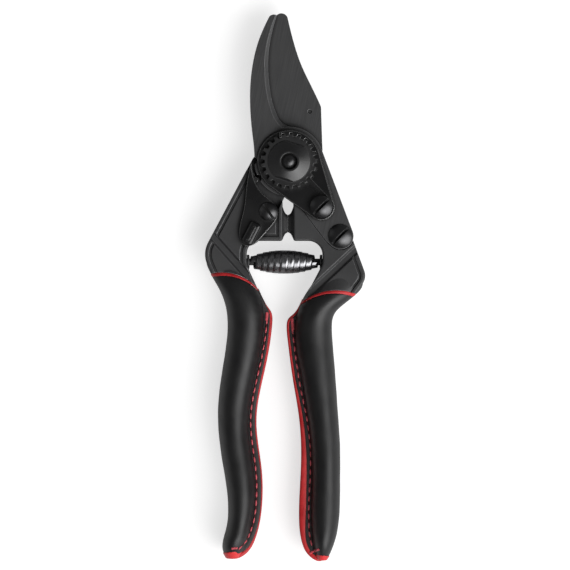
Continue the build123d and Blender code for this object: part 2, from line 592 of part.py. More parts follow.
def make_right_handle():
    """Handle with the pocket for the hook blade's tang and the seats for what it carries."""
    lined = half_plane(*RIGHT_GROOVE)
    body = make_handle_blank(right_head_outline(), lined, RIGHT_GRIP_ROWS, RIGHT_MOUTH, RIGHT_GROOVE)
    body -= disc(PIVOT, HEEL_R + HEEL_GAP, 0, HOOK_Z)
    tang = bar(PIVOT, HEEL_R + TANG_GAP, TANG_SCREW, TANG_END_R + TANG_GAP)
    tang &= half_plane((12.8 - TANG_GAP, -27.8), (3.5 - TANG_GAP, -15.4))
    body -= plate(tang + Circle(HEEL_R + TANG_GAP), HOOK_Z, FAR)
    body -= plate(bar(PIVOT, PLATE_R + TANG_GAP, SEGMENT_SCREW, PLATE_LOBE_R + TANG_GAP), PLATE_Z, FAR)
    for centre in (SEGMENT_SCREW, TANG_SCREW):
        body -= disc(centre, SCREW_R, SCREW_FOOT, FAR)
    body -= bumper_stem(RIGHT_STOP_X, 1)
    body -= x_rod(RIGHT_SEAT_X - 5, RIGHT_SEAT_X, SPRING_Y, MID_Z, SEAT_R + PIN_GAP)
    return body - x_rod(RIGHT_SEAT_X, RIGHT_SEAT_X + SEAT_STEM_L, SPRING_Y, MID_Z, SEAT_PEG_R)


# ---- Write every piece --------------------------------------------------------------------------
left_grip, left_grip_lining = make_grip(LEFT_GRIP_ROWS, LEFT_MOUTH, LEFT_SEAM, 0)
right_grip, right_grip_lining = make_grip(RIGHT_GRIP_ROWS, RIGHT_MOUTH, RIGHT_SEAM, SEAM_SPREAD)

pieces = {
    "left_handle": make_left_handle(),
    "right_handle": make_right_handle(),
    "hook_blade": make_hook_blade(),
    "cutting_blade": make_cutting_blade(),
    "pivot_plate": make_pivot_plate(),
    "lock_segment": make_lock_segment(),
    "centre_nut": make_centre_nut(),
    "centre_bolt": make_centre_bolt(),
    "pivot_bush": make_pivot_bush(),
    "segment_screw": make_segment_screw(),
    "tang_screw": make_tang_screw(),
    "catch_screw": make_catch_screw(),
    "blade_screws": make_blade_screws(),
    "thumb_catch": make_thumb_catch(),
    "catch_ball": make_catch_ball(),
    "catch_ball_spring": make_catch_ball_spring(),
    "left_grip": left_grip,
    "right_grip": right_grip,
    "left_grip_lining": left_grip_lining,
    "right_grip_lining": right_grip_lining,
    "left_stitching": make_stitching(LEFT_SEAM, 0),
    "right_stitching": make_stitching(RIGHT_SEAM, SEAM_SPREAD),
    "left_bumper": make_bumper(LEFT_STOP_X, STOP_FACE_X - BODY_GAP / 2),
    "right_bumper": make_bumper(RIGHT_STOP_X, STOP_FACE_X + BODY_GAP / 2),
    "left_spring_seat": make_spring_seat(LEFT_SEAT_X, 1),
    "right_spring_seat": make_spring_seat(RIGHT_SEAT_X, -1),
    "return_spring": make_return_spring(),
}

os.makedirs("parts", exist_ok=True)
for name, piece in pieces.items():
    export_step(piece, f"parts/{name}.step")
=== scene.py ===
"""Looks for a pair of bypass pruning shears with sewn leather grips.

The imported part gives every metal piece. This script dresses those pieces and builds the soft and wound
ones itself: the leather sleeves with their red linings, the stitches, the rubber bumpers and the volute
spring. Sizes are in millimetres and become metres when a mesh is made.
"""

import logging
import math
from collections.abc import Callable, Sequence
from dataclasses import dataclass
from enum import Enum

import bmesh
import bpy
import numpy as np
from bpy.types import Material, Mesh, Node, NodeSocket, NodeTree, Object
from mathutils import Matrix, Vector


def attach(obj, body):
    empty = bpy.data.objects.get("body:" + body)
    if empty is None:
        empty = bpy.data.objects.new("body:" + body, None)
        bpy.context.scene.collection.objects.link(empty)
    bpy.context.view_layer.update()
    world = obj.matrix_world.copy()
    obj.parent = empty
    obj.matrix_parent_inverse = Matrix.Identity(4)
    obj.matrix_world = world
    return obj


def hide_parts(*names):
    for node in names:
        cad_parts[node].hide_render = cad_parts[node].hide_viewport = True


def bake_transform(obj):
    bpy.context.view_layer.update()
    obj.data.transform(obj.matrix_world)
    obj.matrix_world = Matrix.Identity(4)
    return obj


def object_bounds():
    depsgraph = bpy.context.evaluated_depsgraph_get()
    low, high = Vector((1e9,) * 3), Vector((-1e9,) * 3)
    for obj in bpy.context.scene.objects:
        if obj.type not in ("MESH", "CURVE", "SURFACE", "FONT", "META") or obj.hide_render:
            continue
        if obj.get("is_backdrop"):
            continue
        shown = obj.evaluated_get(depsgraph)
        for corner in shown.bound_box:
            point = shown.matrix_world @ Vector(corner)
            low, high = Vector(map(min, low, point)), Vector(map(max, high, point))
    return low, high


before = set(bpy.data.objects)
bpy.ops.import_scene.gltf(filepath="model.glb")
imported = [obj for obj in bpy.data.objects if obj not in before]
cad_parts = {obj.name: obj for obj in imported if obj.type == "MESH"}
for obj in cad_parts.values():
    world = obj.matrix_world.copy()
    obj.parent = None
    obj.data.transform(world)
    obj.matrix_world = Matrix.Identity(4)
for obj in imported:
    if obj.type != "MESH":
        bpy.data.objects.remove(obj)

LOG = logging.getLogger("shears")
MM = 0.001
MID_Z = 7.8


class Side(Enum):
    """The two halves of the shears, by the name of the body that each rides on."""

    LEFT = "left_shear"
    RIGHT = "right_shear"

    @property
    def word(self) -> str:
        """The side's plain word, as piece and node names start with it."""
        return self.name.lower()

    @property
    def inward(self) -> float:
        """The x direction from this grip towards the other one."""
        return 1.0 if self is Side.LEFT else -1.0


# ---- Shapes -------------------------------------------------------------------------------------
def natural_spline(knots: np.ndarray, values: np.ndarray, wanted: np.ndarray) -> np.ndarray:
    """A smooth curve through given values.

    Args:
        knots: Increasing positions, one for each row of values.
        values: Rows of numbers that the curve goes through.
        wanted: Positions to read the curve at.

    Returns:
        One row for each wanted position.
    """
    step = np.diff(knots)
    slope = np.diff(values, axis=0) / step[:, None]
    count = len(knots)
    matrix = np.eye(count)
    right = np.zeros_like(values)
    for i in range(1, count - 1):
        matrix[i, i - 1 : i + 2] = step[i - 1], 2 * (step[i - 1] + step[i]), step[i]
        right[i] = 6 * (slope[i] - slope[i - 1])
    bend = np.linalg.solve(matrix, right)
    place = np.clip(np.searchsorted(knots, wanted) - 1, 0, count - 2)
    a, h = (wanted - knots[place])[:, None], step[place][:, None]
    low, high = bend[place], bend[place + 1]
    linear = a * (slope[place] - h * (2 * low + high) / 6)
    return values[place] + linear + a**2 * low / 2 + a**3 * (high - low) / (6 * h)


def run_along(line: np.ndarray) -> np.ndarray:
    """How far along a line each of its points lies."""
    return np.concatenate([[0.0], np.cumsum(np.linalg.norm(np.diff(line, axis=0), axis=1))])


def beside(line: np.ndarray) -> np.ndarray:
    """The direction square to a line in plan, to its right, at each of its points."""
    heading = np.gradient(line, axis=0)
    heading /= np.linalg.norm(heading, axis=1, keepdims=True)
    return np.column_stack([heading[:, 1], -heading[:, 0]])


def smooth_path(points: Sequence[Sequence[float]], count: int) -> np.ndarray:
    """Points an equal step apart on a smooth line.

    Args:
        points: The places that the line goes through.
        count: How many points to return.

    Returns:
        The points, one a row.
    """
    given = np.array(points, float)
    knots = run_along(given)
    fine = natural_spline(knots, given, np.linspace(0, knots[-1], 40 * len(given)))
    along = run_along(fine)
    wanted = np.linspace(0, along[-1], count)
    return np.column_stack([np.interp(wanted, along, fine[:, i]) for i in range(given.shape[1])])


def smooth_step(low: float, high: float, value: np.ndarray) -> np.ndarray:
    """0 below low, 1 above high, and an even rise between them."""
    t = np.clip((value - low) / (high - low), 0, 1)
    return t * t * (3 - 2 * t)


def place_object(name: str, data: object) -> Object:
    """Makes an object of that data and links it into the scene."""
    made = bpy.data.objects.new(name, data)
    bpy.context.scene.collection.objects.link(made)
    return made


def mesh_piece(name: str, vertices: np.ndarray, faces: list, material: Material) -> Object:
    """Makes a smooth mesh object with outward faces.

    Args:
        name: The piece's name.
        vertices: Points in millimetres.
        faces: Rows of point numbers.
        material: The finish that it gets.

    Returns:
        The new object, at the origin.
    """
    mesh = bpy.data.meshes.new(name)
    mesh.from_pydata((vertices * MM).tolist(), [], faces)
    cleaner = bmesh.new()
    cleaner.from_mesh(mesh)
    bmesh.ops.recalc_face_normals(cleaner, faces=cleaner.faces)
    cleaner.to_mesh(mesh)
    cleaner.free()
    mesh.shade_smooth()
    mesh.materials.append(material)
    return place_object(name, mesh)


def skin_faces(rows: int, columns: int, ring: bool) -> list[tuple[int, ...]]:
    """Faces over a grid whose columns go round. Its rows also do if it is a ring; if not, it is capped."""
    faces = []
    for i in range(rows if ring else rows - 1):
        a, b = i * columns, (i + 1) % rows * columns
        for j in range(columns):
            k = (j + 1) % columns
            faces.append((a + j, a + k, b + k, b + j))
    if not ring:
        faces.append(tuple(range(columns)))
        faces.append(tuple((rows - 1) * columns + j for j in reversed(range(columns))))
    return faces


def skin_piece(name: str, points: np.ndarray, material: Material, ring: bool = False) -> Object:
    """Makes a piece from its sections.

    Args:
        name: The piece's name.
        points: Points in millimetres, by section and by place round it.
        material: The finish that it gets.
        ring: True if the last section joins the first, False for a cap at each end.

    Returns:
        The piece.
    """
    rows, columns = points.shape[:2]
    return mesh_piece(name, points.reshape(-1, 3), skin_faces(rows, columns, ring), material)


def plain_mesh(host: Object, name: str) -> Mesh:
    """The mesh that an object's modifiers make of it, as a plain mesh of its own; the object goes."""
    graph = bpy.context.evaluated_depsgraph_get()
    graph.update()
    shown = host.evaluated_get(graph)
    mesh = bpy.data.meshes.new_from_object(shown, preserve_all_data_layers=True, depsgraph=graph)
    mesh.name = name
    bpy.data.objects.remove(host)
    return mesh


# ---- Node helpers -------------------------------------------------------------------------------
class Wiring:
    """Adds and joins the nodes of one node tree."""

    def __init__(self, tree: NodeTree) -> None:
        """Takes the tree to work on."""
        self.tree = tree

    def feed(self, node: Node, inputs: dict) -> None:
        """Sets a node's inputs, by name or number, to values, or joins them to sockets."""
        for name, value in inputs.items():
            if isinstance(value, NodeSocket):
                self.tree.links.new(value, node.inputs[name])
            else:
                node.inputs[name].default_value = value

    def add(self, kind: str, inputs: dict | None = None, **settings: object) -> Node:
        """Adds a node.

        Args:
            kind: The node's type name.
            inputs: Values or sockets for its inputs, by name or number.
            **settings: Properties of the node itself.

        Returns:
            The new node.
        """
        node = self.tree.nodes.new(kind)
        for name, value in settings.items():
            setattr(node, name, value)
        self.feed(node, inputs or {})
        return node

    def maths(self, operation: str, *values: object, clamp: bool = False) -> NodeSocket:
        """A Math node on numbers or sockets, and its result."""
        node = self.add("ShaderNodeMath", dict(enumerate(values)), operation=operation, use_clamp=clamp)
        return node.outputs[0]

    def spread(
        self, value: NodeSocket, low: float, high: float, to_low: float = 0.0, to_high: float = 1.0
    ) -> NodeSocket:
        """Maps a value from one range to another, held at its ends."""
        node = self.add("ShaderNodeMapRange", {0: value, 1: low, 2: high, 3: to_low, 4: to_high})
        return node.outputs[0]

    def blend(self, share: object, first: object, second: object) -> NodeSocket:
        """Mixes two colours."""
        node = self.add("ShaderNodeMix", {0: share, 6: first, 7: second}, data_type="RGBA")
        return node.outputs[2]


class SharedGroup(Wiring):
    """A shader node group that several finishes use, with named inputs and outputs."""

    def __init__(self, name: str, inputs: dict[str, float], outputs: dict[str, str]) -> None:
        """Starts the group.

        Args:
            name: The group's name.
            inputs: Float inputs and their defaults.
            outputs: Outputs and their socket types.
        """
        super().__init__(bpy.data.node_groups.new(name, "ShaderNodeTree"))
        for label, value in inputs.items():
            socket = self.tree.interface.new_socket(label, in_out="INPUT", socket_type="NodeSocketFloat")
            socket.default_value = value
        for label, kind in outputs.items():
            self.tree.interface.new_socket(label, in_out="OUTPUT", socket_type=kind)
        self.given, self.result = self.add("NodeGroupInput").outputs, self.add("NodeGroupOutput")
        self.place = self.add("ShaderNodeTexCoord").outputs["Object"]

    def noise(self, scale: object, detail: float, vector: NodeSocket | None = None) -> Node:
        """Adds a noise texture, on the object's own coordinates unless others are given."""
        inputs = {"Vector": vector or self.place, "Scale": scale, "Detail": detail}
        return self.add("ShaderNodeTexNoise", inputs)

    def give(self, **outputs: NodeSocket) -> NodeTree:
        """Joins the group's outputs, and returns the finished tree."""
        self.feed(self.result, outputs)
        return self.tree


OPEN_REACH = 0.0018  # metres within which other faces count as covering a place
PROUD = (0.68, 0.88)  # openness from which an edge starts to take wear and painted highlight, and takes them fully
HOLLOW = (0.45, 0.9)  # openness at which a place gets full painted shade, and none
# The near-black colour of the painted shade in hollows.
PAINTED_SHADE_COLOUR = (0.002, 0.002, 0.002, 1.0)
HOLLOW_ROUGHNESS = 0.4
GRIND_ANGLE = math.radians(12)
PEBBLE_SHIFT = 0.0004
CREASE_SHARE = 1.5
GRAIN_OUTPUTS = {"Height": "NodeSocketFloat", "Tone": "NodeSocketFloat"}


def build_edge_wear() -> NodeTree:
    """Rounded edges, a mask of edges that handling rubs bright and that also carry a painted highlight, and a
    mask of hollows for painted shade.
    """
    w = SharedGroup(
        "Edge Wear And Painted Light",
        {"Radius": 0.0003, "Reach": 6.0, "Patchiness": 0.5, "Patch Scale": 900.0},
        {"Mask": "NodeSocketFloat", "Cavity": "NodeSocketFloat", "Normal": "NodeSocketVector"},
    )
    rounded = w.add("ShaderNodeBevel", {"Radius": w.given["Radius"]}, samples=12).outputs[0]
    plain = w.add("ShaderNodeNewGeometry").outputs["Normal"]
    turn = w.add("ShaderNodeVectorMath", {0: rounded, 1: plain}, operation="DOT_PRODUCT").outputs["Value"]
    edge = w.maths("MULTIPLY", w.maths("SUBTRACT", 1.0, turn), w.given["Reach"], clamp=True)
    opening = w.add("ShaderNodeAmbientOcclusion", {"Distance": OPEN_REACH}, samples=6).outputs["AO"]
    broken = w.spread(w.noise(w.given["Patch Scale"], 3.0).outputs[0], 0.35, 0.62)
    spared = w.maths("MULTIPLY", w.maths("SUBTRACT", 1.0, broken), w.given["Patchiness"])
    rubbed_and_lit = w.maths("MULTIPLY", edge, w.spread(opening, *PROUD))
    return w.give(
        # Mask: edges that are partly worn bare and partly given a painted highlight.
        Mask=w.maths("MULTIPLY", rubbed_and_lit, w.maths("SUBTRACT", 1.0, spared)),
        # Painted shade: where little is open round a place, its colour goes near-black.
        Cavity=w.spread(opening, *HOLLOW, 1.0, 0.0),
        Normal=rounded,
    )


def build_fine_grain() -> NodeTree:
    """The slight orange-peel and cloudiness of a coated metal face."""
    w = SharedGroup("Fine Grain", {"Grain Scale": 3500.0, "Cloud Scale": 90.0}, GRAIN_OUTPUTS)
    grain = w.noise(w.given["Grain Scale"], 2.0).outputs[0]
    cloud = w.noise(w.given["Cloud Scale"], 4.0).outputs[0]
    return w.give(Height=grain, Tone=w.spread(cloud, 0.3, 0.7))


def build_brushed_grain() -> NodeTree:
    """Fine lines that run along a blade, from its grinding."""
    w = SharedGroup("Brushed Grain", {"Line Scale": 2600.0, "Stretch": 0.03}, GRAIN_OUTPUTS)
    turned = w.add("ShaderNodeMapping", {"Vector": w.place, "Rotation": (0.0, 0.0, GRIND_ANGLE)})
    parts = w.add("ShaderNodeSeparateXYZ", {0: turned.outputs[0]}).outputs
    long_way = w.maths("MULTIPLY", parts[1], w.given["Stretch"])
    squeezed = w.add("ShaderNodeCombineXYZ", {0: parts[0], 1: long_way, 2: parts[2]}).outputs[0]
    lines = w.noise(w.given["Line Scale"], 3.0, squeezed).outputs[0]
    return w.give(Height=lines, Tone=w.spread(lines, 0.35, 0.65))


def build_leather_grain() -> NodeTree:
    """Small pebbles with creases between them, and a slow change of tone."""
    w = SharedGroup("Leather Grain", {"Pebble Scale": 1500.0, "Crease Scale": 160.0}, GRAIN_OUTPUTS)
    bend = w.noise(500.0, 2.0).outputs["Color"]
    shifted = w.add("ShaderNodeVectorMath", {0: bend, "Scale": PEBBLE_SHIFT}, operation="SCALE")
    moved = w.add("ShaderNodeVectorMath", {0: w.place, 1: shifted.outputs[0]}, operation="ADD")
    pebble = w.add(
        "ShaderNodeTexVoronoi",
        {"Vector": moved.outputs[0], "Scale": w.given["Pebble Scale"]},
        feature="DISTANCE_TO_EDGE",
    )
    dome = w.spread(pebble.outputs["Distance"], 0.0, 0.25)
    crease = w.noise(w.given["Crease Scale"], 5.0).outputs[0]
    height = w.maths("ADD", dome, w.maths("MULTIPLY", crease, CREASE_SHARE))
    return w.give(Height=height, Tone=w.spread(crease, 0.3, 0.7))


class Surface(Enum):
    """The grain groups that a finish may take."""

    COATED = "Fine Grain"
    BRUSHED = "Brushed Grain"
    LEATHER = "Leather Grain"


SHARED: dict[str, Callable[[], NodeTree]] = {
    "Edge Wear And Painted Light": build_edge_wear,
    "Fine Grain": build_fine_grain,
    "Brushed Grain": build_brushed_grain,
    "Leather Grain": build_leather_grain,
}


def group_named(name: str) -> NodeTree:
    """The shared group of that name, built the first time that it is asked for."""
    return bpy.data.node_groups.get(name) or SHARED[name]()


# ---- Finishes -----------------------------------------------------------------------------------
@dataclass(frozen=True)
class Finish:
    """A surface finish: two tones of a base colour, a grain, how its edges wear and carry a painted
    highlight, and painted shade in its hollows.
    """

    name: str
    dark: tuple[float, float, float]
    light: tuple[float, float, float]
    surface: Surface
    metallic: float = 0.0
    roughness: tuple[float, float] = (0.35, 0.5)
    specular: float = 0.5
    grain_depth: float = 0.00002
    grain: tuple[float, float] | None = None
    # The colour of edges that are worn bare and also carry a painted highlight.
    worn_and_highlight: tuple[float, float, float] | None = None
    edge_radius: float = 0.0003
    edge_reach: float = 6.0
    patchiness: float = 0.5

    def build(self) -> Material:
        """Makes the material, or returns the one already made."""
        found = bpy.data.materials.get(self.name)
        if found:
            return found
        material = bpy.data.materials.new(self.name)
        material.use_nodes = True
        w = Wiring(material.node_tree)
        scales = dict(enumerate(self.grain or ()))
        grain = w.add("ShaderNodeGroup", scales, node_tree=group_named(self.surface.value)).outputs
        colour = w.blend(grain["Tone"], (*self.dark, 1.0), (*self.light, 1.0))
        roughness = w.spread(grain["Tone"], 0.0, 1.0, *self.roughness)
        metal = self.metallic
        relief = {"Height": grain["Height"], "Distance": self.grain_depth, "Strength": 1.0}
        bump = w.add("ShaderNodeBump", relief)
        if self.worn_and_highlight:
            wear_and_light = w.add(
                "ShaderNodeGroup",
                {"Radius": self.edge_radius, "Reach": self.edge_reach, "Patchiness": self.patchiness},
                node_tree=group_named("Edge Wear And Painted Light"),
            ).outputs
            mask, painted_shade = wear_and_light["Mask"], wear_and_light["Cavity"]
            # Edges take a lighter metal colour: partly real wear, partly a painted highlight.
            colour = w.blend(mask, colour, (*self.worn_and_highlight, 1.0))
            # Painted shade in hollows: near-black colour, less metal and more roughness.
            colour = w.blend(painted_shade, colour, PAINTED_SHADE_COLOUR)
            metal = w.maths("MULTIPLY", w.maths("MAXIMUM", mask, metal), w.maths("SUBTRACT", 1.0, painted_shade))
            rougher = w.maths("MULTIPLY", painted_shade, HOLLOW_ROUGHNESS)
            roughness = w.maths("ADD", roughness, rougher, clamp=True)
            w.feed(bump, {"Normal": wear_and_light["Normal"]})
        look = {
            "Base Color": colour, "Roughness": roughness, "Metallic": metal, "Normal": bump.outputs[0],
            "Specular IOR Level": self.specular,
        }
        w.feed(material.node_tree.nodes["Principled BSDF"], look)
        return material


FORGED_BLACK = Finish(
    "forged black", (0.029, 0.029, 0.030), (0.039, 0.039, 0.040), Surface.COATED,
    roughness=(0.42, 0.5), worn_and_highlight=(0.30, 0.30, 0.31), edge_radius=0.0004, edge_reach=5.0, patchiness=0.6,
)
BLADE_COATING = Finish(
    "blade coating", (0.034, 0.034, 0.035), (0.046, 0.046, 0.047), Surface.BRUSHED,
    roughness=(0.42, 0.5), grain_depth=0.000004, worn_and_highlight=(0.42, 0.42, 0.43), edge_radius=0.00025, edge_reach=7.0,
    patchiness=0.35,
)
BLACK_OXIDE = Finish(
    "black oxide", (0.003, 0.003, 0.0033), (0.006, 0.006, 0.0063), Surface.COATED,
    roughness=(0.24, 0.32), grain_depth=0.000004, worn_and_highlight=(0.42, 0.42, 0.42), edge_reach=7.0, patchiness=0.1,
)
NUT_OXIDE = Finish(
    "nut oxide", (0.008, 0.008, 0.0085), (0.014, 0.014, 0.0145), Surface.COATED,
    roughness=(0.3, 0.38), specular=0.7, grain_depth=0.000004, worn_and_highlight=(0.10, 0.10, 0.10), edge_reach=4.0,
    patchiness=0.4,
)
DARK_PLATING = Finish(
    "dark plating", (0.07, 0.07, 0.072), (0.095, 0.095, 0.097), Surface.COATED,
    metallic=1.0, roughness=(0.32, 0.4), grain_depth=0.000003, worn_and_highlight=(0.1, 0.1, 0.1), edge_radius=0.0002,
    edge_reach=0.6,
)
BRIGHT_STEEL = Finish(
    "bright steel", (0.20, 0.20, 0.21), (0.34, 0.34, 0.35), Surface.BRUSHED,
    metallic=1.0, roughness=(0.24, 0.36), grain_depth=0.000003,
)
BRONZE = Finish(
    "bronze", (0.42, 0.27, 0.12), (0.55, 0.38, 0.18), Surface.BRUSHED,
    metallic=1.0, grain_depth=0.000003,
)
BLACK_LEATHER = Finish(
    "black leather", (0.006, 0.006, 0.0065), (0.011, 0.011, 0.0115), Surface.LEATHER,
    roughness=(0.42, 0.5), grain_depth=0.00001,
)
FLAT_LEATHER = Finish(
    "black seam leather", (0.022, 0.018, 0.018), (0.036, 0.031, 0.031), Surface.LEATHER,
    roughness=(0.5, 0.65), specular=0.4,
)
RED_LEATHER = Finish(
    "red lining leather", (0.42, 0.012, 0.016), (0.60, 0.03, 0.034), Surface.LEATHER,
    roughness=(0.4, 0.55), specular=0.4,
)
# Brighter than the lining red; on the right grip's edging it is a painted highlight.
RED_EDGE = Finish(
    "red edge paint", (0.58, 0.014, 0.018), (0.82, 0.045, 0.048), Surface.LEATHER,
    roughness=(0.4, 0.52), grain_depth=0.00001,
)
# Dark crimson for a strip along the stitches: painted shade of their crease.
CREASE_SHADE = Finish(
    "crimson painted crease shade", (0.035, 0.003, 0.005), (0.07, 0.006, 0.009), Surface.BRUSHED,
    roughness=(0.6, 0.7), specular=0.3, grain_depth=0.00001,
)
RED_THREAD = Finish(
    "red waxed thread", (0.55, 0.04, 0.06), (0.80, 0.16, 0.19), Surface.BRUSHED,
    roughness=(0.45, 0.6), specular=0.4, grain_depth=0.00003, grain=(5200.0, 0.5),
)
RUBBER = Finish(
    "moulded rubber", (0.009, 0.009, 0.0095), (0.015, 0.015, 0.0155), Surface.COATED,
    roughness=(0.5, 0.62), specular=0.4,
)


# ---- Grips --------------------------------------------------------------------------------------
@dataclass
class SewnGrip:
    """A leather sleeve sewn along its inner side over a red lining, on one handle."""

    side: Side
    rows: Sequence[tuple[float, float, float, float]]
    mouth: Sequence[tuple[float, float]]
    seam: Sequence[tuple[float, float]]
    edge_widths: Sequence[tuple[float, float]]
    stitch_insets: Sequence[tuple[float, float]]
    first_stitch: float
    last_stitch: float
    tack_sizes: tuple[tuple[float, float], tuple[float, float]]
    end_tack: tuple[float, float, float]
    tip_height: float
    # True where the edging takes the brighter red as a painted highlight.
    painted_lit_edging: bool
    mouth_widths: tuple[float, float] = (1.3, 0.75)
    tip_slope: float = 0.12
    lip: float = 0.18
    around: int = 112
    along: int = 260
    fin_half: float = 1.2
    edge_half: float = 0.95
    fin_root: float = 6.0
    stitch_pitch: float = 3.1
    stitch_length: float = 2.2
    stitch_lift: float = 0.02
    tack_pitch: float = 0.42
    tack_lift: float = 0.12
    strip_half: float = 0.3

    def build(self) -> None:
        """Builds the grip's pieces and puts each in place of its CAD node."""
        word, body = self.side.word, self.side.value
        leather, lining, edge = BLACK_LEATHER.build(), RED_LEATHER.build(), RED_EDGE.build()
        for piece, node, slot in (
            (self.sleeve(leather), f"{word}_grip", "black_leather"),
            (self.fin(FLAT_LEATHER.build()), None, "black_leather"),
            # One grip's edging takes the brighter red as a painted highlight; both edgings are the same red.
            (self.edging(edge if self.painted_lit_edging else lining), f"{word}_grip_lining", "red_leather"),
            (self.mouth_band(lining), None, "red_leather"),
            (self.end_tip(edge), None, "red_leather"),
            # Painted shade along the stitch crease.
            (self.crease_shade_strip(CREASE_SHADE.build()), None, "red_leather"),
            (self.stitches(RED_THREAD.build()), f"{word}_stitching", "red_thread"),
        ):
            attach(piece, body)
            if node:
                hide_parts(node)
            LOG.info("%s: %d faces", piece.name, len(piece.data.polygons))

    @property
    def top(self) -> float:
        """The y of the mouth at its middle."""
        return float(self.mouth_y(np.array(self.mouth[1][0])))

    def section(self, y: np.ndarray) -> tuple[np.ndarray, np.ndarray, np.ndarray]:
        """The grip's oval at a place along it.

        Args:
            y: Places along the grip.

        Returns:
            The centre's x, the half width and the half depth at each.
        """
        rows = np.array(self.rows)[::-1]
        read = natural_spline(rows[:, 0], rows[:, 1:], np.clip(y, rows[0, 0], rows[-1, 0]).ravel())
        inner, outer, depth = (read[:, i].reshape(y.shape) for i in range(3))
        return (inner + outer) / 2, np.abs(outer - inner) / 2, depth

    def mouth_y(self, x: np.ndarray) -> np.ndarray:
        """The y of the sleeve's curved mouth at each x: the arc through its three places."""
        (ax, ay), (bx, by), (cx, cy) = self.mouth
        d = 2 * (ax * (by - cy) + bx * (cy - ay) + cx * (ay - by))
        a2, b2, c2 = ax**2 + ay**2, bx**2 + by**2, cx**2 + cy**2
        ux = (a2 * (by - cy) + b2 * (cy - ay) + c2 * (ay - by)) / d
        uy = (a2 * (cx - bx) + b2 * (ax - cx) + c2 * (bx - ax)) / d
        radius = math.hypot(ax - ux, ay - uy)
        return uy + np.sqrt(np.maximum(radius**2 - (x - ux) ** 2, 0))

    def rings(self, y: np.ndarray, follow: np.ndarray, swell: np.ndarray) -> np.ndarray:
        """Rings round the grip.

        Args:
            y: Each ring's drop below the mouth where it follows it, and its y where it doesn't.
            follow: 1 for a ring that follows the mouth's curve, 0 for a straight one.
            swell: How far each ring stands proud of the grip's surface.

        Returns:
            Points by ring and by place round it.
        """
        turn = np.linspace(0, 2 * math.pi, self.around, endpoint=False)[None, :]
        height = np.repeat(y[:, None], self.around, 1)
        for _ in range(12):
            centre, width, depth = self.section(height)
            x = centre + (width + swell[:, None]) * np.cos(turn)
            height = y[:, None] + follow[:, None] * (self.mouth_y(x) - self.top)
        z = MID_Z + (depth + swell[:, None]) * np.sin(turn)
        return np.stack([x, height, z], -1)

    def sleeve(self, material: Material) -> Object:
        """The leather sleeve, with a rounded lip, slight creases in its bend and a domed end."""
        top = self.top
        end = self.rows[-1][0]
        lip_drop = np.array([3.0, 0.9, 0.86, 0.9, 1.05, 1.3])
        lip_swell = np.array([-1.7, -1.5, -0.7, -0.25, -0.05, 0.05])
        run = np.linspace(top - 1.7, end, self.along)
        y = np.concatenate([top - lip_drop, run])
        swell = np.concatenate([lip_swell, np.full(self.along, 0.06)])
        follow = 1 - smooth_step(2.0, 22.0, top - y)
        points = self.rings(y, follow, swell)
        points[-1, :, 1] = end
        points = np.concatenate([points, self.domed(points[-1], ((0.93, 0.15), (0.75, 0.3), (0.4, 0.38)))])
        return skin_piece(f"{self.side.word}_sleeve", self.creased(points), material)

    def creased(self, points: np.ndarray) -> np.ndarray:
        """Adds the slow unevenness of hand-stretched leather and pulls it in beside the seam.

        Args:
            points: The sleeve's rings.

        Returns:
            The same rings, moved by a tenth of a millimetre or two.
        """
        centre = points.mean(1, keepdims=True)
        out = points - centre
        out[..., 1] = 0
        out /= np.maximum(np.linalg.norm(out, axis=-1, keepdims=True), 1e-6)
        x, y, z = points[..., 0], points[..., 1], points[..., 2]
        wave = np.sin(0.55 * y + 0.8 * z) * np.sin(0.21 * y + 0.5 * x + 1.0)
        facing = smooth_step(0.35, 0.95, self.side.inward * out[..., 0])
        pull = 0.12 * facing * (1 + np.cos(2 * math.pi * y / self.stitch_pitch)) / 2
        return points + out * (0.03 * wave - pull)[..., None]

    def beside_seam(self, inset: np.ndarray, count: int) -> np.ndarray:
        """A line beside the seam.

        Args:
            inset: How far in it runs, at evenly spaced places along the seam.
            count: How many points it has.

        Returns:
            Its points in plan.
        """
        line = smooth_path(self.seam, count)
        return line + beside(line) * self.side.inward * inset[:, None]

    def widths(self, table: Sequence[tuple[float, float]], count: int) -> np.ndarray:
        """A width that changes along the seam, from its values at given shares of it."""
        share, value = np.array(table).T
        read = np.interp(np.linspace(0, 1, count), share, value)
        kernel = np.ones(15) / 15
        return np.convolve(np.pad(read, 7, mode="edge"), kernel, mode="valid")

    def ribbon(
        self, name: str, upper: list[tuple[np.ndarray, np.ndarray]], shared: int, material: Material
    ) -> Object:
        """Sweeps a closed flat profile along the seam.

        Args:
            name: The piece's name.
            upper: For each corner of its upper half, its inset and its height along the seam.
            shared: How many corners lie on the mid plane, at the start of the upper half.
            material: The finish.

        Returns:
            The piece.
        """
        columns = []
        for inset, height in upper + [(a, -h) for a, h in reversed(upper[shared:])]:
            columns.append(np.column_stack([self.beside_seam(inset, len(inset)), MID_Z + height]))
        return skin_piece(name, np.stack(columns, 1), material)

    def fin(self, material: Material) -> Object:
        """The two layers of leather that the seam holds together, drawn in a little at every stitch."""
        count = 420
        edge = self.widths(self.edge_widths, count)
        inset = self.widths(self.stitch_insets, count)
        along = np.linspace(0, run_along(smooth_path(self.seam, count))[-1], count)
        drawn = 0.16 * (1 + np.cos(2 * math.pi * (along - self.first_stitch) / self.stitch_pitch)) / 2
        half = np.full(count, self.fin_half)
        upper = [
            (edge - 0.25, half * 0.45), (edge - 0.05, half * 0.78), (edge + 0.3, half - 0.03),
            ((edge + inset) / 2 + 0.2, half), (inset - 0.35, half - 0.05), (inset, half - 0.1 - drawn),
            (inset + 0.5, half - 0.25), (np.full(count, self.fin_root), half - 0.4),
        ]
        return self.ribbon(f"{self.side.word}_seam_fin", upper, 0, material)

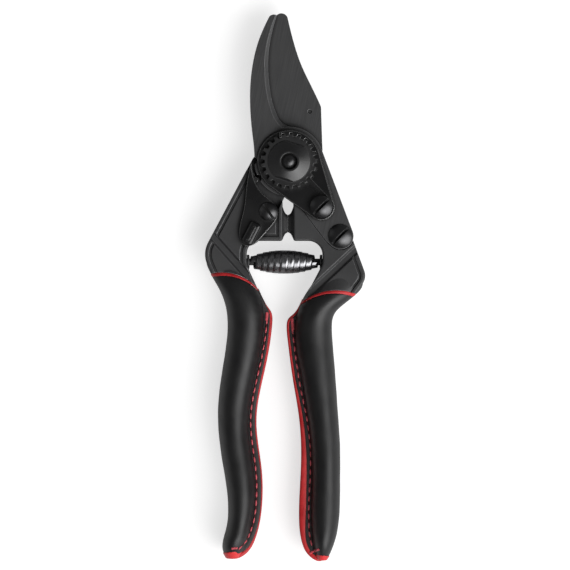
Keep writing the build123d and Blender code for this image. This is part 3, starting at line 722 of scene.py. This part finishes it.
    def edging(self, material: Material) -> Object:
        """The red lining's folded edge, which shows past the fin."""
        count = 300
        width = self.widths(self.edge_widths, count)
        swell = self.edge_half + 0.35 * smooth_step(0.7, 1.8, width)
        zero = np.zeros(count)
        upper = [
            (zero, zero), (zero + 0.05, swell * 0.38), (zero + 0.06 + 0.15 * width, swell * 0.72),
            (0.45 * width, swell * 0.95), (0.75 * width, swell), (width, swell * 0.95),
            (width + 0.7, swell * 0.85),
        ]
        return self.ribbon(f"{self.side.word}_lining_edge", upper, 1, material)

    def mouth_band(self, material: Material) -> Object:
        """The red lining's rolled edge round the sleeve's mouth."""
        turn = np.linspace(math.radians(200), math.radians(-20), 11)
        share = np.concatenate([0.5 * (1 - np.cos(turn)), [1.0, 0.0]])
        swell = np.concatenate([self.lip * np.sin(turn) - 0.02, [-1.4, -1.4]])
        wide, narrow = self.mouth_widths
        outer = self.rings(self.top - share * wide - 0.02, np.ones(len(share)), swell)
        inner = self.rings(self.top - share * narrow - 0.02, np.ones(len(share)), swell)
        around = np.linspace(0, 2 * math.pi, self.around, endpoint=False)
        toward = (1 + self.side.inward * np.cos(around)) / 2
        points = outer + (inner - outer) * toward[None, :, None]
        return skin_piece(f"{self.side.word}_lining_mouth", points, material, ring=True)

    def end_tip(self, material: Material) -> Object:
        """The lining's end, a shallow cup that closes the sleeve's foot."""
        end = self.rows[-1][0]
        rise = np.array([1.0, 1.03, 0.97, 0.85, 0.6, 0.35, 0.12, 0.0]) * self.tip_height
        swell = np.array([-0.7, 0.02, 0.16, 0.2, 0.2, 0.19, 0.17, 0.14])
        points = self.rings(end + rise, np.zeros(len(rise)), swell)
        slope = (points[..., 0] - points[..., 0].mean()) * -self.side.inward * self.tip_slope
        points[..., 1] -= slope * (rise / self.tip_height)[:, None]
        cup = self.domed(points[-1], ((0.93, 0.3), (0.75, 0.52), (0.4, 0.62)))
        return skin_piece(f"{self.side.word}_lining_end", np.concatenate([points, cup]), material)

    def domed(self, ring: np.ndarray, steps: Sequence[tuple[float, float]]) -> np.ndarray:
        """Smaller rings below a ring, each a share of its size and a drop."""
        centre = ring.mean(0)
        out = ring - centre
        return np.array([centre + out * [share, 1, share] - [0, drop, 0] for share, drop in steps])

    def stitch_line(self, count: int = 400) -> np.ndarray:
        """The line of the stitches in plan, cut to where they start and end."""
        line = self.beside_seam(self.widths(self.stitch_insets, count), count)
        along = run_along(line)
        keep = (along >= self.first_stitch) & (along <= along[-1] - self.last_stitch)
        return line[keep]

    def lift(self, plan: np.ndarray) -> np.ndarray:
        """How far above the mid plane the leather lies at places in plan, on the fin or on the sleeve."""
        centre, width, depth = self.section(plan[:, 1])
        share = np.clip((plan[:, 0] - centre) / width, -1, 1)
        return np.maximum(self.fin_half - 0.1, depth * np.sqrt(1 - share**2) + 0.06)

    def crease_shade_strip(self, material: Material) -> Object:
        """A dark crimson strip on each face along the stitch line: painted shade of the crease that the
        stitches are pulled into.
        """
        line = self.stitch_line()
        side, half = beside(line), self.strip_half
        points, faces = [], []
        for face in (1, -1):
            columns = []
            for across, drop in ((-half, 0.0), (0.0, 0.08), (half, 0.0), (half, -0.4), (-half, -0.4)):
                plan = line + side * across
                columns.append(np.column_stack([plan, MID_Z + face * (self.lift(plan) + drop)]))
            first = sum(len(block) for block in points)
            faces += [tuple(first + i for i in row) for row in skin_faces(len(line), len(columns), False)]
            points.append(np.stack(columns, 1).reshape(-1, 3))
        return mesh_piece(f"{self.side.word}_crease_shade_strip", np.concatenate(points), faces, material)

    def stitches(self, material: Material) -> Object:
        """The red stitches on both faces of the fin, with a bar tack at each end of the row."""
        line = self.stitch_line()
        flat = SeamStitches(self.stitch_pitch, self.stitch_length)
        start = line[0] + np.array([0.0, 0.6 * self.tack_sizes[0][1]])
        turn = math.radians(self.end_tack[2])
        places = (
            (start, (line[4] - line[0]) / np.linalg.norm(line[4] - line[0]), *self.tack_sizes[0]),
            (np.array(self.end_tack[:2]), np.array([math.cos(turn), math.sin(turn)]), *self.tack_sizes[1]),
        )
        tacks, rows = [], []
        for face in (1, -1):
            for middle, along, width, length in places:
                shift = np.linspace(-0.5, 0.5, max(3, round(length / self.tack_pitch))) * (length - 0.5)
                plan = middle + shift[:, None] * along
                points = np.column_stack([plan, MID_Z + face * (self.lift(plan) + self.tack_lift)])
                tacks.append((points, Vector((*along, 0)), width))
            rows.append(np.column_stack([line, MID_Z + face * (self.lift(line) + self.stitch_lift)]))
        return flat.sew(f"{self.side.word}_stitches", rows, tacks, material)


def open_sockets(tree: NodeTree, **kinds: Sequence[str]) -> None:
    """Gives a Geometry Nodes tree a geometry input and output, and named inputs of each kind between them."""
    face = tree.interface
    face.new_socket("Geometry", in_out="INPUT", socket_type="NodeSocketGeometry")
    for kind, names in kinds.items():
        for name in names:
            face.new_socket(name, in_out="INPUT", socket_type=f"NodeSocket{kind}")
    face.new_socket("Geometry", in_out="OUTPUT", socket_type="NodeSocketGeometry")


def node_host(name: str, mesh: Mesh, tree: NodeTree, values: dict[str, object]) -> Object:
    """An object whose mesh goes through a Geometry Nodes tree.

    Args:
        name: The object's name.
        mesh: What the tree starts from.
        tree: The tree.
        values: The tree's inputs, by name.

    Returns:
        The object, with its modifier.
    """
    host = place_object(name, mesh)
    modifier = host.modifiers.new("rule", "NODES")
    modifier.node_group = tree
    sockets = {s.name: s.identifier for s in tree.interface.items_tree if s.in_out == "INPUT"}
    for label, value in values.items():
        modifier[sockets[label]] = value
    return host


@dataclass
class SeamStitches:
    """Sews equal stitches along a line with Geometry Nodes."""

    pitch: float
    length: float
    thickness: float = 0.58
    waver: float = math.radians(4)
    seed: int = 7

    def tree(self) -> NodeTree:
        """The node tree that sets one stitch at each step of a line, or the one already made."""
        found = bpy.data.node_groups.get("Seam Stitches")
        if found:
            return found
        tree = bpy.data.node_groups.new("Seam Stitches", "GeometryNodeTree")
        open_sockets(
            tree, Float=("Pitch", "Length", "Thickness", "Waver"), Int=("Seed",), Material=("Thread",)
        )
        w = Wiring(tree)
        given, result = w.add("NodeGroupInput").outputs, w.add("NodeGroupOutput")
        line = w.add("GeometryNodeMeshToCurve", {0: given["Geometry"]})
        steps = w.add(
            "GeometryNodeResampleCurve", {"Curve": line.outputs[0], "Length": given["Pitch"]}, mode="LENGTH"
        )
        tangent = w.add("GeometryNodeInputTangent")
        turned = w.add("FunctionNodeAlignRotationToVector", {"Vector": tangent.outputs[0]}, axis="X")
        down = w.maths("MULTIPLY", given["Waver"], -1.0)
        waver = w.add(
            "FunctionNodeRandomValue", {2: down, 3: given["Waver"], "Seed": given["Seed"]}, data_type="FLOAT"
        )
        tilt = w.add("ShaderNodeCombineXYZ", {2: waver.outputs[1]})
        lean = w.add(
            "FunctionNodeRotateRotation", {0: turned.outputs[0], 1: tilt.outputs[0]}, rotation_space="LOCAL"
        )
        bead = w.add("GeometryNodeMeshUVSphere", {"Segments": 8, "Rings": 8, "Radius": 0.5})
        thick = given["Thickness"]
        size = w.add("ShaderNodeCombineXYZ", {0: given["Length"], 1: thick, 2: thick})
        shaped = w.add("GeometryNodeTransform", {"Geometry": bead.outputs["Mesh"], "Scale": size.outputs[0]})
        placed = w.add(
            "GeometryNodeInstanceOnPoints",
            {"Points": steps.outputs[0], "Instance": shaped.outputs[0], "Rotation": lean.outputs[0]},
        )
        real = w.add("GeometryNodeRealizeInstances", {0: placed.outputs[0]})
        smooth = w.add("GeometryNodeSetShadeSmooth", {0: real.outputs[0]})
        dressed = w.add("GeometryNodeSetMaterial", {0: smooth.outputs[0], "Material": given["Thread"]})
        w.feed(result, {0: dressed.outputs[0]})
        return tree

    def sew(self, name: str, rows: list[np.ndarray], tacks: list[tuple], material: Material) -> Object:
        """Sews each row and adds the bar tacks.

        Args:
            name: The piece's name.
            rows: The points of each row.
            tacks: Each tack's thread middles, the direction of its long side, and its width.
            material: The thread's finish.

        Returns:
            One plain mesh with every stitch.
        """
        path = bpy.data.meshes.new(f"{name}_path")
        points, edges = [], []
        for row in rows:
            first = len(points)
            points += (row * MM).tolist()
            edges += [(i, i + 1) for i in range(first, len(points) - 1)]
        path.from_pydata(points, edges, [])
        values = {
            "Pitch": self.pitch * MM, "Length": self.length * MM, "Thickness": self.thickness * MM,
            "Waver": self.waver, "Seed": self.seed, "Thread": material,
        }
        mesh = plain_mesh(node_host(f"{name}_path", path, self.tree(), values), name)
        build = bmesh.new()
        build.from_mesh(mesh)
        for threads, along, width in tacks:
            self.tack(build, threads, along, width)
        build.to_mesh(mesh)
        build.free()
        mesh.materials.clear()
        mesh.materials.append(material)
        mesh.polygons.foreach_set("material_index", [0] * len(mesh.polygons))
        mesh.shade_smooth()
        return place_object(name, mesh)

    def tack(self, build: bmesh.types.BMesh, threads: np.ndarray, along: Vector, width: float) -> None:
        """Adds a bar tack: a dense pack of threads laid side by side across the row.

        Args:
            build: The mesh to add to.
            threads: The middle of each thread.
            along: The direction of its long side.
            width: Its short side.
        """
        across = Vector((-along.y, along.x, 0))
        for middle in threads:
            made = bmesh.ops.create_uvsphere(build, u_segments=8, v_segments=6, radius=0.5)["verts"]
            for vertex in made:
                c = vertex.co.copy()
                offset = across * (c.x * width) + along * (c.y * 0.5) + Vector((0, 0, c.z * 0.6))
                vertex.co = (Vector(middle) + offset) * MM


# ---- Bumpers and spring -------------------------------------------------------------------------
@dataclass
class Bumper:
    """A moulded rubber stop with a flange, a groove round it and a crowned striking face."""

    side: Side
    stop_x: float
    face_x: float
    low_y: float = -25.3
    high_y: float = -18.8
    foot_low_y: float = -27.7
    foot_high_y: float = -15.9
    foot_thickness: float = 8.6
    thickness: float = 7.0
    stem_radius: float = 1.45
    squareness: float = 5.0
    stem_depth: float = 2.6
    places: Sequence[float] = (0.0, 0.04, 0.1, 0.2, 0.34, 0.5, 0.68, 0.84, 0.93, 0.98, 1.0, 1.0)
    skirt_end: float = 0.9
    skirt_power: float = 2.2
    crown_start: float = 0.84
    crown_fall: float = 0.07
    foot_shrink: float = 0.05
    face_shrink: float = 0.55

    def build(self) -> None:
        """Builds the bumper in place of its CAD node."""
        out = math.copysign(1.0, self.face_x - self.stop_x)
        depth = abs(self.face_x - self.stop_x)
        turn = np.linspace(0, 2 * math.pi, 56, endpoint=False)
        power = 2 / self.squareness
        waves = (np.cos(turn), np.sin(turn))
        square_y, square_z = (np.sign(wave) * np.abs(wave) ** power / 2 for wave in waves)
        rings = []
        middle_y = (self.low_y + self.high_y) / 2
        for drop in (self.stem_depth, 0.02):
            stem = np.cos(turn) * self.stem_radius, np.sin(turn) * self.stem_radius
            rings.append(self.ring(self.stop_x - out * drop, middle_y + stem[0], stem[1]))
        shrinks = [self.foot_shrink] + [0.0] * (len(self.places) - 2) + [self.face_shrink]
        for place, shrink in zip(self.places, shrinks):
            skirt = (1 - min(place / self.skirt_end, 1.0)) ** self.skirt_power
            high = self.high_y + (self.foot_high_y - self.high_y) * skirt
            low = self.low_y + (self.foot_low_y - self.low_y) * skirt
            thick = self.thickness + (self.foot_thickness - self.thickness) * skirt
            fall = self.crown_fall * max(place - self.crown_start, 0) / (1 - self.crown_start)
            crown = 1.0 - fall - shrink
            y = (high + low) / 2 + square_y * (high - low) * crown
            rings.append(self.ring(self.stop_x + out * place * depth, y, square_z * thick * crown))
        name = f"{self.side.word}_rubber_stop"
        piece = skin_piece(name, np.array(rings), RUBBER.build())
        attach(piece, self.side.value)
        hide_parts(f"{self.side.word}_bumper")
        LOG.info("%s: %d faces", name, len(piece.data.polygons))

    def ring(self, x: float, y: np.ndarray, z: np.ndarray) -> np.ndarray:
        """The points of one section, z measured from the mid plane."""
        return np.column_stack([np.full(len(y), x), y, MID_Z + z])


@dataclass
class VoluteSpring:
    """A flat strip wound into two cones that meet at the middle, each turn lapping the next."""

    start_x: float = -14.1
    end_x: float = 10.55
    y: float = -35.7
    end_radius: float = 2.15
    middle_radius: float = 4.15
    turns: float = 10.0
    strip_width: float = 3.1
    wall: float = 0.28
    steps: int = 900
    taper_power: float = 2.2
    flare: float = 0.0012
    end_grip: float = 1.0

    def tree(self) -> NodeTree:
        """The node tree that winds the strip by rule from its named sizes."""
        tree = bpy.data.node_groups.new("Volute Winding", "GeometryNodeTree")
        open_sockets(
            tree,
            Float=("Turns", "Span", "End Radius", "Middle Radius", "Strip Width"),
            Int=("Steps",),
            Material=("Steel",),
        )
        w = Wiring(tree)
        given, result = w.add("NodeGroupInput").outputs, w.add("NodeGroupOutput")
        unit = {"Size X": 1.0, "Size Y": 1.0, "Vertices X": given["Steps"], "Vertices Y": 4}
        sheet = w.add("GeometryNodeMeshGrid", unit)
        place = w.add("GeometryNodeInputPosition")
        parts = w.add("ShaderNodeSeparateXYZ", {0: place.outputs[0]})
        along, across = parts.outputs[0], parts.outputs[1]
        angle = w.maths("MULTIPLY", w.maths("MULTIPLY", along, given["Turns"]), 2 * math.pi)
        away = w.maths("MULTIPLY", w.maths("ABSOLUTE", along), 2.0)
        cone = w.maths("SUBTRACT", 1.0, w.maths("POWER", away, self.taper_power))
        rise = w.maths("MULTIPLY", w.maths("SUBTRACT", given["Middle Radius"], given["End Radius"]), cone)
        flare = w.maths("MULTIPLY", w.maths("MULTIPLY", across, along), -self.flare)
        radius = w.maths("ADD", w.maths("ADD", given["End Radius"], rise), flare)
        reach = w.maths("SUBTRACT", given["Span"], given["Strip Width"])
        turned = [w.maths("MULTIPLY", radius, w.maths(wave, angle)) for wave in ("SINE", "COSINE")]
        strip = w.maths("MULTIPLY", across, given["Strip Width"])
        x = w.maths("ADD", w.maths("MULTIPLY", along, reach), strip)
        wound = w.add("ShaderNodeCombineXYZ", {0: x, 1: turned[0], 2: turned[1]})
        shape = {"Geometry": sheet.outputs["Mesh"], "Position": wound.outputs[0]}
        moved = w.add("GeometryNodeSetPosition", shape)
        real = w.add("GeometryNodeRealizeInstances", {0: moved.outputs[0]})
        dressed = w.add("GeometryNodeSetMaterial", {0: real.outputs[0], "Material": given["Steel"]})
        w.feed(result, {0: dressed.outputs[0]})
        return tree

    def build(self) -> None:
        """Winds the spring and stretches it between the two handles."""
        values = {
            "Turns": self.turns, "Span": (self.end_x - self.start_x) * MM,
            "End Radius": self.end_radius * MM, "Middle Radius": self.middle_radius * MM,
            "Strip Width": self.strip_width * MM, "Steps": self.steps, "Steel": BRIGHT_STEEL.build(),
        }
        host = node_host("winding", bpy.data.meshes.new("winding"), self.tree(), values)
        wall = host.modifiers.new("wall", "SOLIDIFY")
        wall.thickness, wall.offset = self.wall * MM, 1.0
        mesh = plain_mesh(host, "volute_spring")
        middle = Vector(((self.start_x + self.end_x) / 2 * MM, self.y * MM, MID_Z * MM))
        for vertex in mesh.vertices:
            vertex.co += middle
        mesh.shade_smooth()
        piece = place_object("volute_spring", mesh)
        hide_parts("return_spring")
        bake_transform(piece)
        LOG.info("volute_spring: %d faces", len(mesh.polygons))


# ---- Metal pieces -------------------------------------------------------------------------------
@dataclass
class MetalWork:
    """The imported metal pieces, each with its finish."""

    finishes: dict[str, Finish]

    def dress(self) -> None:
        """Gives every metal piece its material."""
        for node, finish in self.finishes.items():
            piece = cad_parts[node]
            piece.data.materials.clear()
            piece.data.materials.append(finish.build())
            LOG.info("%s: %s", node, finish.name)


# ---- Studio -------------------------------------------------------------------------------------
@dataclass
class Studio:
    """A pale floor, soft lights, and a camera that looks straight down through a long lens."""

    view_centre: tuple[float, float] = (-1.46, -43.9)
    view_width: float = 202.9
    camera_height: float = 2.4
    sensor: float = 36.0
    focus_z: float = 9.0
    floor_tone: float = 0.55
    floor_glow: float = 0.66
    floor_bounce: float = 0.3
    dim_power: float = 0.12
    floor_half: float = 3.0
    floor_drop: float = 0.0001
    glow_edge: float = 0.35
    glows: tuple[tuple[tuple[float, float, float], float, float], ...] = (
        ((0.70, -0.38, 0.60), 0.84, 4.0),
        ((0.22, -0.55, 0.80), 0.93, 3.2),
        ((-0.85, 0.3, 0.35), 0.93, 0.25),
    )

    def camera(self) -> None:
        """Sets the camera."""
        data = bpy.data.cameras.new("camera")
        data.sensor_width = self.sensor
        data.lens = self.sensor * (self.camera_height - self.focus_z * MM) / (self.view_width * MM)
        data.clip_start, data.clip_end = 0.05, 20.0
        made = place_object("camera", data)
        made.location = (self.view_centre[0] * MM, self.view_centre[1] * MM, self.camera_height)
        bpy.context.scene.camera = made

    def floor(self) -> None:
        """Lays a plain pale floor just under the shears."""
        material = bpy.data.materials.new("studio floor")
        material.use_nodes = True
        w = Wiring(material.node_tree)
        seen = w.add("ShaderNodeLightPath").outputs["Is Camera Ray"]
        bounced, shown = self.floor_glow * self.floor_bounce, self.floor_glow
        look = {
            "Base Color": (self.floor_tone, self.floor_tone, self.floor_tone, 1),
            "Roughness": 0.9,
            "Specular IOR Level": 0.1,
            "Emission Color": (1, 1, 1, 1),
            "Emission Strength": w.spread(seen, 0.0, 1.0, bounced, shown),
        }
        w.feed(material.node_tree.nodes["Principled BSDF"], look)
        low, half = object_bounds()[0].z - self.floor_drop, self.floor_half
        corners = [(x * half, y * half, low) for x, y in ((-1, -1), (1, -1), (1, 1), (-1, 1))]
        mesh = bpy.data.meshes.new("floor")
        mesh.from_pydata(corners, [], [(0, 1, 2, 3)])
        mesh.materials.append(material)
        made = place_object("floor", mesh)
        made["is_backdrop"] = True

    def light(self) -> None:
        """Dim light all round, two glows from the lower right and a weak one from the left."""
        world = bpy.data.worlds.new("surround")
        world.use_nodes = True
        w = Wiring(world.node_tree)
        toward = w.add("ShaderNodeTexCoord").outputs["Generated"]
        height = w.add("ShaderNodeSeparateXYZ", {0: toward}).outputs[2]
        strength = w.spread(height, -0.1, 0.1, 0.0, self.dim_power)
        for direction, narrow, power in self.glows:
            unit = Vector(direction).normalized()
            near = w.add("ShaderNodeVectorMath", {0: toward, 1: unit}, operation="DOT_PRODUCT")
            glow = w.spread(near.outputs["Value"], narrow, 1.0 - (1.0 - narrow) * self.glow_edge)
            strength = w.maths("MULTIPLY_ADD", glow, power, strength)
        w.feed(world.node_tree.nodes["Background"], {"Strength": strength, "Color": (1, 1, 1, 1)})
        bpy.context.scene.world = world
        bpy.context.scene.view_settings.view_transform = "Standard"


LEFT_GRIP = SewnGrip(
    side=Side.LEFT,
    rows=(
        (-34.0, -15.2, -29.6, 3.6), (-40.0, -13.6, -27.8, 5.4), (-46.0, -10.9, -24.5, 7.1),
        (-54.0, -9.0, -22.1, 7.8), (-64.0, -9.5, -22.2, 7.8), (-80.0, -12.8, -24.6, 7.8),
        (-94.0, -14.4, -25.2, 7.8), (-108.0, -12.8, -23.5, 7.8), (-120.0, -12.1, -21.8, 7.8),
        (-131.0, -13.8, -22.5, 7.6), (-138.0, -16.0, -23.6, 6.2), (-140.8, -18.0, -22.6, 3.6),
    ),
    mouth=((-30.5, -40.6), (-20.5, -39.8), (-11.0, -45.2)),
    seam=(
        (-11.0, -45.2), (-9.4, -48.7), (-7.9, -51.2), (-6.4, -53.4), (-6.0, -58.0), (-8.6, -74.0),
        (-11.6, -92.0), (-9.7, -110.0), (-9.6, -122.0), (-11.9, -134.0), (-15.6, -139.8), (-20.0, -141.3),
        (-22.6, -139.0),
    ),
    edge_widths=(
        (0.0, 0.1), (0.06, 0.15), (0.1, 1.0), (0.22, 0.9), (0.4, 0.6), (0.8, 0.5), (0.9, 1.0), (0.97, 1.6),
        (1.0, 1.6),
    ),
    stitch_insets=((0.0, 2.0), (0.8, 2.2), (0.9, 3.0), (1.0, 3.6)),
    first_stitch=12.1,
    last_stitch=4.2,
    tack_sizes=((1.2, 3.0), (1.0, 2.2)),
    end_tack=(-19.4, -137.4, 5.0),
    tip_height=2.0,
    painted_lit_edging=False,
)
RIGHT_GRIP = SewnGrip(
    side=Side.RIGHT,
    rows=(
        (-38.0, 12.0, 26.4, 3.6), (-43.5, 8.3, 26.3, 5.4), (-48.0, 5.3, 22.9, 6.9), (-53.0, 3.2, 17.0, 7.8),
        (-59.0, 1.9, 15.2, 7.8), (-72.0, 3.2, 16.1, 7.8), (-86.0, 5.7, 17.1, 7.8), (-102.0, 7.7, 18.1, 7.8),
        (-116.0, 7.9, 18.1, 7.8), (-130.0, 7.8, 17.4, 7.7), (-138.0, 9.0, 15.2, 6.2),
        (-141.4, 10.0, 13.6, 3.6),
    ),
    mouth=((27.0, -48.6), (16.8, -45.8), (3.0, -51.0)),
    seam=(
        (4.6, -48.9), (3.2, -51.9), (1.5, -54.2), (-0.3, -55.9), (-0.9, -58.5), (-0.6, -63.0), (1.4, -78.0),
        (3.5, -91.0), (4.2, -108.0), (3.5, -126.0), (4.4, -135.0), (7.4, -140.6), (11.4, -142.2),
        (13.6, -139.8),
    ),
    edge_widths=((0.0, 0.5), (0.07, 0.9), (0.3, 0.9), (0.5, 1.4), (0.75, 2.2), (0.86, 1.4), (1.0, 1.2)),
    stitch_insets=((0.0, 2.0), (0.35, 2.2), (0.55, 3.4), (0.8, 3.5), (0.9, 3.0), (1.0, 3.0)),
    first_stitch=12.3,
    last_stitch=7.0,
    tack_sizes=((1.3, 4.2), (1.0, 3.9)),
    end_tack=(8.9, -138.6, 25.0),
    tip_height=1.3,
    painted_lit_edging=True,
)
METAL = MetalWork(
    finishes={
        "left_handle": FORGED_BLACK, "right_handle": FORGED_BLACK, "left_spring_seat": FORGED_BLACK,
        "right_spring_seat": FORGED_BLACK, "hook_blade": BLADE_COATING, "cutting_blade": BLADE_COATING,
        "pivot_plate": BLACK_OXIDE, "lock_segment": BLACK_OXIDE, "centre_nut": NUT_OXIDE,
        "thumb_catch": BLACK_OXIDE,
        "centre_bolt": DARK_PLATING, "segment_screw": DARK_PLATING, "tang_screw": DARK_PLATING,
        "catch_screw": DARK_PLATING, "blade_screws": DARK_PLATING, "catch_ball": BRIGHT_STEEL,
        "catch_ball_spring": BRIGHT_STEEL, "pivot_bush": BRONZE,
    }
)


def main() -> None:
    """Builds every sub-assembly in order."""
    logging.basicConfig(level=logging.INFO, format="%(name)s %(message)s")
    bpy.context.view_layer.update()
    studio = Studio()
    studio.camera()
    METAL.dress()
    for grip in (LEFT_GRIP, RIGHT_GRIP):
        grip.build()
    Bumper(Side.LEFT, -2.3, -0.41).build()
    Bumper(Side.RIGHT, 1.5, -0.39).build()
    VoluteSpring().build()
    studio.floor()
    studio.light()


if __name__ == "__main__":
    main()
